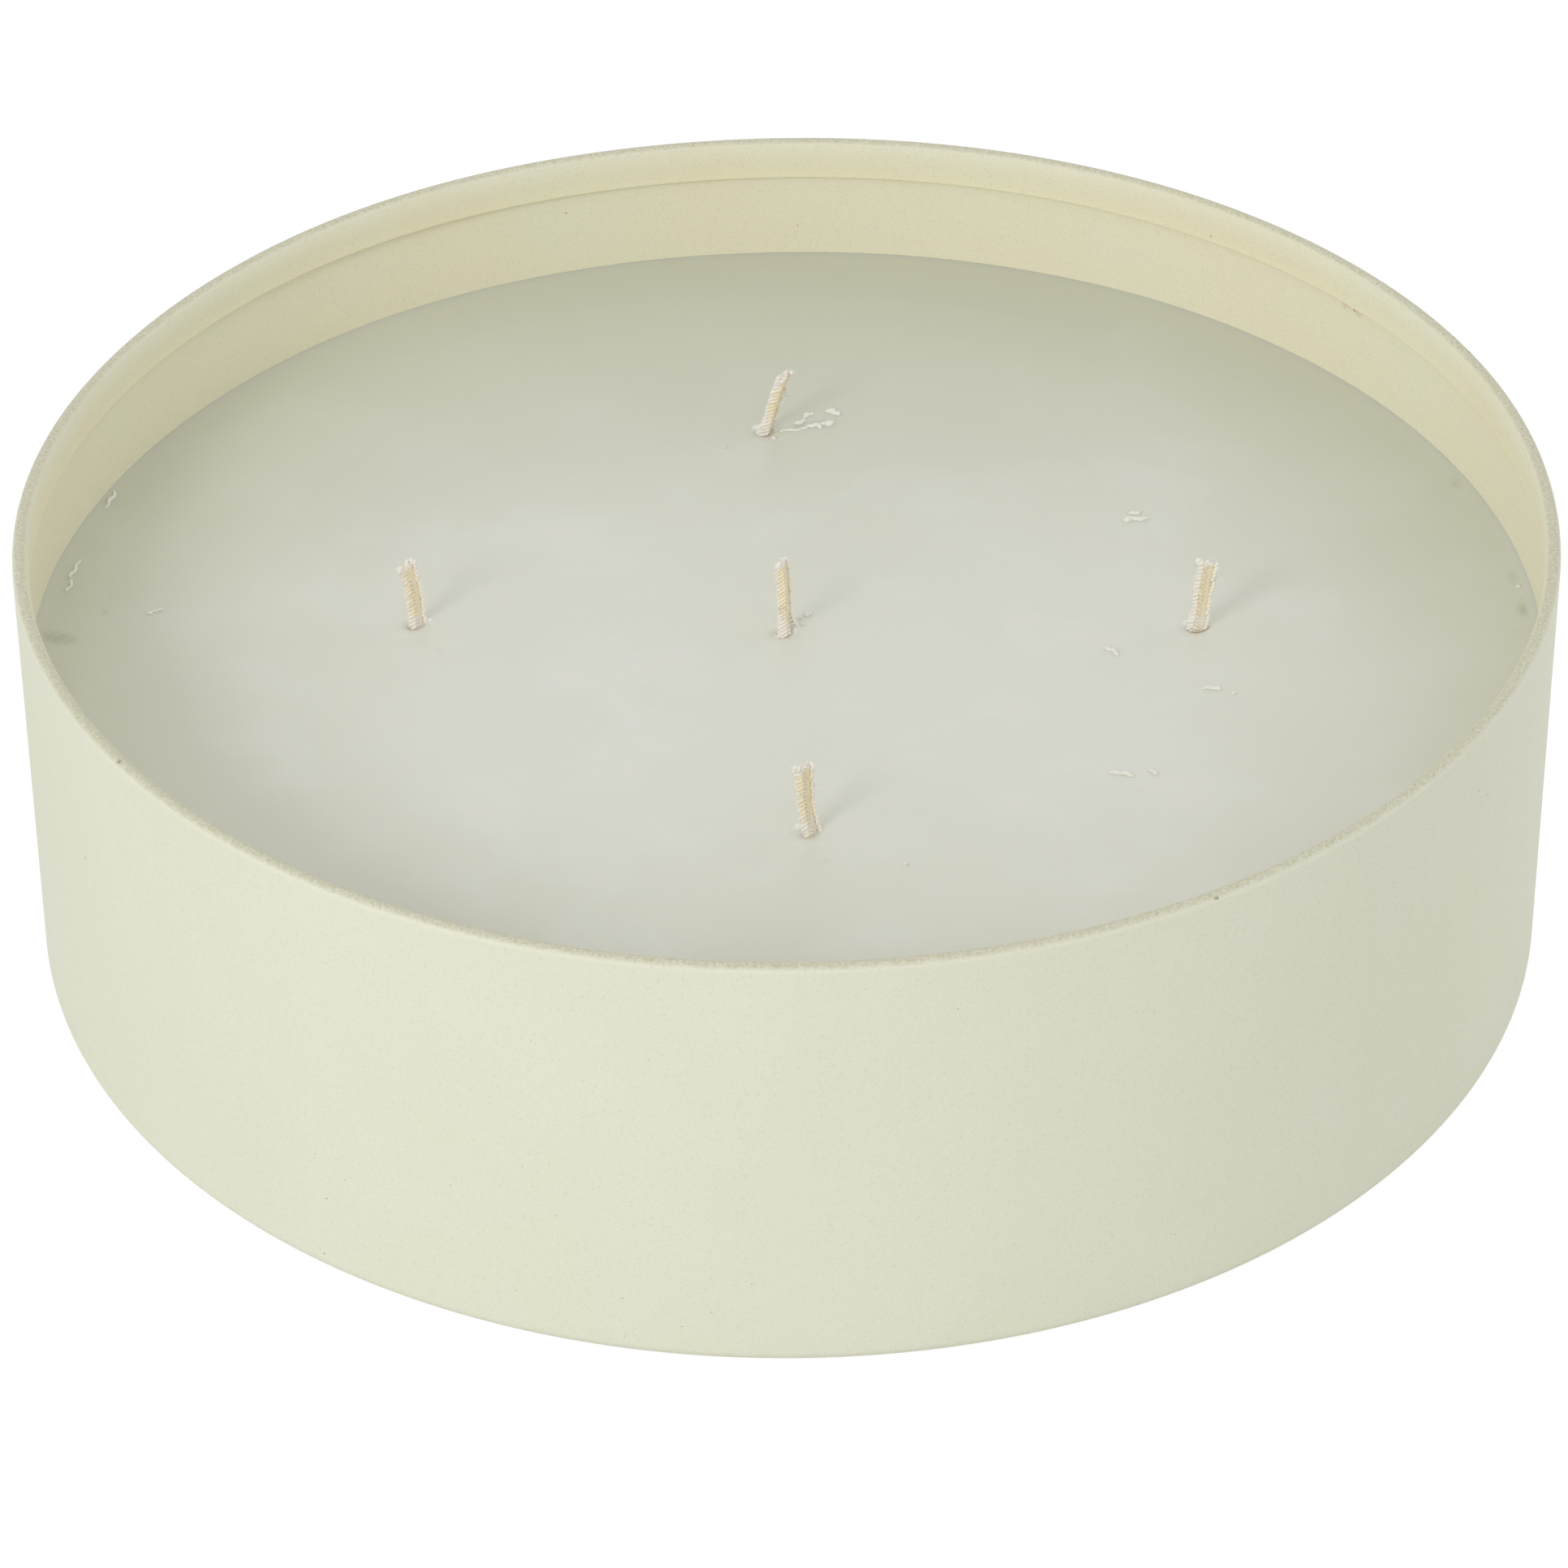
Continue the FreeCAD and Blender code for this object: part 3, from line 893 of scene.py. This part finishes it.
def powder_coat():
    """Cream polyester powder coat on steel, with painted bounce light inside and painted shade on the
    crest.
    """
    material, tree, place = new_material("powder_coated_steel")
    inside = add(tree, "Attribute", {}, "Fac", attribute_name="inside")
    crest = add(tree, "Attribute", {}, "Fac", attribute_name="crest")
    cloud = add(tree, "TexNoise", {"Vector": place, "Scale": 1 / COAT_CLOUD, "Detail": 3})
    grit = add(tree, "TexNoise", {"Vector": place, "Scale": 1 / COAT_GRIT, **GRAINY, "Detail": 2})
    crumble = add(tree, "TexNoise", {"Vector": place, "Scale": 1 / COAT_CRUMBLE, **GRAINY})
    clouded = add(tree, "MapRange", {"Value": cloud, "From Min": 0.35, "From Max": 0.65}, **SMOOTH)
    outer = add(tree, "Mix", {0: clouded, 6: "#E4E4D0", 7: "#E5E5D3"}, 2, **COLOURS)
    # Painted bounce light: the inside is painted warmer and yellower than the outside.
    painted_bounce = add(tree, "Mix", {0: clouded, 6: "#F4EAC9", 7: "#F2EDCC"}, 2, **COLOURS)
    colour = add(tree, "Mix", {0: inside, 6: outer, 7: painted_bounce}, 2, **COLOURS)
    # Painted shade: the low points of the grit are painted darker.
    grit_shade_spread = {"Value": grit, "From Min": 0.46, "From Max": 0.28, "To Max": 0.36}
    painted_grit_shade = add(tree, "MapRange", grit_shade_spread, **SMOOTH)
    # Painted shade: the rim's crest is painted a darker tan, in patches of the crumble.
    crest_shade_spread = {"Value": crumble, "From Min": 0.32, "From Max": 0.68, "To Min": 0.25, "To Max": 0.85}
    painted_crest_shade = add(tree, "Math", {0: add(tree, "MapRange", crest_shade_spread), 1: crest}, **TIMES)
    pepper_area = patches(tree, place, PEPPER_PLACES, PEPPER_REACH, cloud)
    pepper = dots(tree, place, PEPPER_SPACING, PEPPER_RADIUS, 0.5)
    peppered = add(tree, "Math", {0: pepper, 1: pepper_area}, **TIMES)
    pores = dots(tree, place, PORE_SPACING, PORE_RADIUS, 0.5)
    dark = add(tree, "Math", {0: peppered, 1: pores}, **LARGER)
    shown = add(tree, "Math", {0: dark, 1: DARKEST}, **TIMES)
    speckle = {"Value": crumble, "From Min": 0.44, "From Max": 0.6, "To Max": 0.75}
    inner = {0: add(tree, "MapRange", speckle, **SMOOTH), 1: inside}
    rust_area = patches(tree, place, RUST_PLACES, RUST_REACH, crumble)
    rust = {0: rust_area, 1: add(tree, "Math", inner, **TIMES)}
    pits = {0: patches(tree, place, RUST_PITS, PIT_REACH, crumble), 1: inside}
    layers = (
        (painted_grit_shade, "#C9C8B0"), (painted_crest_shade, "#BAB698"), (shown, "#6E664C"),
        (add(tree, "Math", rust, **TIMES), "#C07C42"),
        (add(tree, "Math", pits, **TIMES), "#6B3A18"),
        (patches(tree, place, CHIP_PLACES, CHIP_REACH, crumble), "#A8A283"),
    )
    for share, code in layers:
        colour = add(tree, "Mix", {0: share, 6: colour, 7: code}, 2, **COLOURS)
    peel = add(tree, "TexNoise", {"Vector": place, "Scale": 1 / COAT_PEEL, "Detail": 1})
    slow = add(tree, "Bump", {"Height": peel, "Distance": 0.1 * MM, "Strength": 0.25})
    fine = add(tree, "Bump", {"Height": grit, "Distance": 0.05 * MM, "Strength": 0.5, "Normal": slow})
    dull = {"Value": grit, "From Min": 0.2, "From Max": 0.8, "To Min": 0.7, "To Max": 0.54}
    varied = {"Base Color": colour, "Roughness": add(tree, "MapRange", dull), "Normal": fine}
    finish_material(tree, varied, {"IOR": 1.5})
    return material


container.data.materials.append(powder_coat())

# %% [markdown]
# ## Paraffin wax
#
# Fully refined paraffin is translucent: light goes in, scatters between its crystals, and comes out some
# millimetres away. That softens every small shadow on it, and subsurface scattering draws it. It has an
# index of 1.43 and sets with a dull bloom, so its gloss is broad and weak. It is painted paler a little
# in front of its middle and darker and greener towards the wall, most at the back: painted shade of the
# walls, with whiter clouds of bloom in the pale part. Where it is torn it turns white, and soot and
# metal dust
# darken it by the wicks and the wall: values on the mesh say where.

# %% Paraffin wax
WAX_CLOUD = 50 * MM
BLOOM_CLOUD = 20 * MM
WAX_CRYSTAL = 1.1 * MM
WAX_SCATTER = 5 * MM
WAX_INDEX = 1.43
# Round these two places the wax is painted paler; away from them, towards the wall, darker: painted
# shade.
WAX_PAINTED_LIGHT = ((-34 * MM, -28 * MM, WAX_LEVEL), (40 * MM, -28 * MM, WAX_LEVEL))
WAX_PAINTED_LIGHT_REACH = 158 * MM


def paraffin():
    """Pale grey-green candle wax with a dull bloom."""
    material, tree, place = new_material("paraffin_wax")
    torn, stain, smudge = (
        add(tree, "Attribute", {}, "Fac", attribute_name=name) for name in ("torn", "stain", "smudge")
    )
    slow_change = {"Vector": place, "Scale": 1 / WAX_CLOUD, "Detail": 1, "Roughness": 0.4}
    cloud = add(tree, "TexNoise", slow_change)
    blooming = {"Vector": place, "Scale": 1 / BLOOM_CLOUD, "Detail": 4, "Roughness": 0.55}
    bloom = add(tree, "TexNoise", blooming)
    crystal = add(tree, "TexNoise", {"Vector": place, "Scale": 1 / WAX_CRYSTAL, **GRAINY})
    # Painted shade: paler round those places, darker and greener towards the wall, most at the back.
    middle = patches(tree, place, WAX_PAINTED_LIGHT, WAX_PAINTED_LIGHT_REACH, cloud, stray=0.35, core=0.05)
    colour = add(tree, "Mix", {0: middle, 6: "#CFD0BF", 7: "#E0E1D5"}, 2, **COLOURS)
    clouds = {"Value": bloom, "From Min": 0.44, "From Max": 0.7, "To Max": 0.4}
    pale = {0: add(tree, "MapRange", clouds, **SMOOTH), 1: middle}
    soot = {"Value": stain, "From Min": 0.1, "From Max": 1, "To Max": 0.85}
    dusty = add(tree, "Math", {0: smudge, 1: crystal}, **TIMES)
    dust = {"Value": dusty, "From Min": 0.08, "From Max": 0.6, "To Max": 0.45}
    broken = {"Value": torn, "From Min": 0.15, "From Max": 0.9}
    layers = (
        (add(tree, "Math", pale, **TIMES), "#E5E4E0"),
        (add(tree, "MapRange", soot, **SMOOTH), "#A98B66"),
        (add(tree, "MapRange", dust, **SMOOTH), "#A3A48A"),
        (add(tree, "MapRange", broken, **SMOOTH), "#F0F0EA"),
    )
    for share, code in layers:
        colour = add(tree, "Mix", {0: share, 6: colour, 7: code}, 2, **COLOURS)
    slow = add(tree, "Bump", {"Height": bloom, "Distance": 0.5 * MM, "Strength": 0.1})
    fine = add(tree, "Bump", {"Height": crystal, "Distance": 0.05 * MM, "Strength": 0.3, "Normal": slow})
    dull = {"Value": crystal, **NOISE_SPREAD, "To Min": 0.36, "To Max": 0.46}
    varied = {"Base Color": colour, "Roughness": add(tree, "MapRange", dull), "Normal": fine}
    even = {
        "IOR": WAX_INDEX, "Subsurface Weight": 0.3, "Subsurface Radius": (1.0, 0.95, 0.75),
        "Subsurface Scale": WAX_SCATTER,
    }
    finish_material(tree, varied, even)
    return material


wax.data.materials.append(paraffin())

# %% [markdown]
# Broken bits of the same wax look whiter and drier: light that goes in comes out again within half a
# millimetre, at the nearest broken face. So they get the same index with a much shorter scatter.

# %% Broken wax
CRUMB_SCATTER = 0.5 * MM
CRUMB_GRAIN = 0.5 * MM


def broken_wax():
    """Pale, dry wax with a fine broken grain."""
    material, tree, place = new_material("broken_paraffin_wax")
    grain = add(tree, "TexNoise", {"Vector": place, "Scale": 1 / CRUMB_GRAIN, **GRAINY})
    light = add(tree, "MapRange", {"Value": grain, **NOISE_SPREAD}, **SMOOTH)
    colour = add(tree, "Mix", {0: light, 6: "#E4E4D8", 7: "#F0F0E8"}, 2, **COLOURS)
    gloss = add(tree, "MapRange", {"Value": grain, "To Min": 0.45, "To Max": 0.65})
    bump = add(tree, "Bump", {"Height": grain, "Distance": 0.08 * MM, "Strength": 0.5})
    even = {
        "IOR": WAX_INDEX, "Subsurface Weight": 0.4, "Subsurface Radius": (1.0, 0.95, 0.8),
        "Subsurface Scale": CRUMB_SCATTER,
    }
    finish_material(tree, {"Base Color": colour, "Roughness": gloss, "Normal": bump}, even)
    return material


crumbs.data.materials.append(broken_wax())

# %% [markdown]
# ## Waxed cotton
#
# Unbleached cotton yarn is warm and matt, with a soft edge light from its fibres, which the sheen layer
# gives. The wax that primes the wick fills the yarns, darkens them to straw colour, and sits pale on the
# tip and near the foot; the wick's left and right sides are painted pale too, as painted sheen. The
# value on each point says which of the two shows. The fibre grain is real at 0.02 mm, and is drawn at
# 0.25 mm, stretched along the wick.

# %% Waxed cotton
FIBRE_GRAIN = 0.25 * MM
WAX_LUMP = 0.9 * MM


def waxed_cotton():
    """Straw-coloured cotton under patches of pale wax and painted sheen."""
    material, tree, place = new_material("waxed_cotton_braid")
    # Painted sheen: this value also holds the pale paint on the wick's left and right sides.
    wax_and_sheen = add(tree, "Attribute", {}, "Fac", attribute_name="wax_and_sheen")
    along = add(tree, "Mapping", {"Vector": place, "Scale": (1, 1, 0.25)})
    grain = add(tree, "TexNoise", {"Vector": along, "Scale": 1 / FIBRE_GRAIN, **GRAINY})
    lumps = add(tree, "TexNoise", {"Vector": place, "Scale": 1 / WAX_LUMP, "Detail": 2})
    light = add(tree, "MapRange", {"Value": grain, **NOISE_SPREAD}, **SMOOTH)
    cotton = add(tree, "Mix", {0: light, 6: "#F5E2BA", 7: "#FCF1DA"}, 2, **COLOURS)
    shifted = add(tree, "Math", {0: lumps, 1: 0.7, 2: wax_and_sheen}, operation="MULTIPLY_ADD")
    coat = add(tree, "MapRange", {"Value": shifted, "From Min": 0.55, "From Max": 1.15}, **SMOOTH)
    colour = add(tree, "Mix", {0: coat, 6: cotton, 7: "#F7F1E6"}, 2, **COLOURS)
    bump = add(tree, "Bump", {"Height": grain, "Distance": 0.08 * MM, "Strength": 0.45})
    even = {
        "Roughness": 0.7, "Sheen Weight": 0.2, "Subsurface Weight": 0.25,
        "Subsurface Radius": (1.0, 0.85, 0.6), "Subsurface Scale": 0.6 * MM,
    }
    finish_material(tree, {"Base Color": colour, "Normal": bump}, even)
    return material


cotton_braid = waxed_cotton()
for piece in wick_pieces:
    piece.data.materials.append(cotton_braid)

# %% [markdown]
# ## Tinplate
#
# The feet that hold the wicks are pressed from tinned steel and stand on the floor of the container, all
# inside the wax. Nobody sees them unless the candle is cut open, but they keep their solids and get the
# bright, lightly rolled finish of tinplate, so that the model is whole.

# %% Tinplate
ROLLING_GRAIN = 0.4 * MM


def tinplate():
    """Bright tinned steel with faint rolling lines along X."""
    material, tree, place = new_material("rolled_tinplate")
    rolled = add(tree, "Mapping", {"Vector": place, "Scale": (0.06, 1, 1)})
    grain = add(tree, "TexNoise", {"Vector": rolled, "Scale": 1 / ROLLING_GRAIN, "Detail": 2})
    colour = add(tree, "Mix", {0: grain, 6: "#B9BABB", 7: "#D4D5D4"}, 2, **COLOURS)
    dull = {"Value": grain, **NOISE_SPREAD, "To Min": 0.24, "To Max": 0.38}
    bump = add(tree, "Bump", {"Height": grain, "Distance": 0.01 * MM, "Strength": 0.4})
    varied = {"Base Color": colour, "Roughness": add(tree, "MapRange", dull), "Normal": bump}
    finish_material(tree, varied, {"Metallic": 1.0})
    return material


tinned = tinplate()
for place in PLACES:
    for material_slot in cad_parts["sustainer_" + place].material_slots:
        material_slot.material = tinned

# %% [markdown]
# ## Floor and background
#
# The photograph is a cut-out on pure white. The floor is pale paper. What the camera sees of it,
# straight or in a reflection, is lifted to white by a light of its own, and its diffuse part still takes
# the container's soft shadow. Light Path says which rays those are, so the object gets no light from it.

# %% Floor and world
FLOOR_HALF = 6.0
FLOOR_DROP = 0.05 * MM
FLOOR_SHADOW = 0.16
FLOOR_OWN = 1 - 0.6 * FLOOR_SHADOW
WORLD_LIGHT = 0.705


def seen_directly(tree):
    """One for rays that look at the background, straight or in a reflection, and nothing for light."""
    total = 0.0
    for ray in ("Is Camera Ray", "Is Glossy Ray", "Is Transmission Ray"):
        total = add(tree, "Math", {0: total, 1: add(tree, "LightPath", {}, ray)}, **LARGER)
    return total


paper = bpy.data.materials.new("studio_paper")
paper.use_nodes = True
sheet = paper.node_tree
sheet.nodes.clear()
plain = add(sheet, "BsdfDiffuse", {"Color": "#E9E9E7"})
faint = add(sheet, "BsdfDiffuse", {"Color": (FLOOR_SHADOW, FLOOR_SHADOW, FLOOR_SHADOW, 1)})
own = add(sheet, "Emission", {"Color": "#FFFFFF", "Strength": FLOOR_OWN})
lifted = add(sheet, "AddShader", {0: faint, 1: own})
shown = add(sheet, "MixShader", {0: seen_directly(sheet), 1: plain, 2: lifted})
add(sheet, "OutputMaterial", {"Surface": shown})

floor_corners = FLOOR_HALF * np.array([(-1, -1, 0), (1, -1, 0), (1, 1, 0), (-1, 1, 0)])
floor_mesh = bpy.data.meshes.new("studio_floor")
floor_mesh.from_pydata((floor_corners - [0, 0, FLOOR_DROP]).tolist(), [], [(0, 1, 2, 3)])
floor_mesh.materials.append(paper)
floor = add_object("studio_floor", floor_mesh)

world = bpy.data.worlds.new("studio_world")
world.use_nodes = True
sky = world.node_tree
sky.nodes.clear()
soft = add(sky, "Background", {"Color": "#FFFFFF", "Strength": WORLD_LIGHT})
white = add(sky, "Background", {"Color": "#FFFFFF", "Strength": 1.0})
mixed = add(sky, "MixShader", {0: seen_directly(sky), 1: soft, 2: white})
add(sky, "OutputWorld", {"Surface": mixed})
bpy.context.scene.world = world

# %% [markdown]
# ## Light
#
# In the photograph the wicks' shadows are soft and fall to the back right, about twice as long as the
# wicks stand, so the key is a broad panel at the front left, 30 degrees up. Smaller panels would draw
# harder shadows than the picture shows. The container's front is brighter than its wax, so a wide, weak
# fill stands in front. The wall's inside at the left is bright too, so a third panel stands at the right
# and a little behind. The rest is an even wrap of light from all round.

# %% Lamps
def panel(name, place, size, watts):
    """Square area lamp that faces the candle."""
    data = bpy.data.lights.new(name, "AREA")
    data.shape = "SQUARE"
    data.size = size
    data.energy = watts
    lamp = add_object(name, data)
    lamp.location = place
    aim = Vector((0, 0, RIM_HEIGHT / 2)) - Vector(place)
    lamp.rotation_euler = aim.to_track_quat("-Z", "Y").to_euler()


panel("key_panel", (-0.95, -1.25, 0.95), 0.55, 7.6)
panel("front_fill", (-0.2, -1.9, 0.9), 1.6, 2.2)
panel("side_fill", (1.5, 0.7, 1.0), 1.2, 3.6)

# %% [markdown]
# ## Finishing
#
# The view transform is Standard, so a colour comes out as it was written. The finished one may not be
# larger.

# %% Finish
bpy.context.scene.view_settings.view_transform = "Standard"
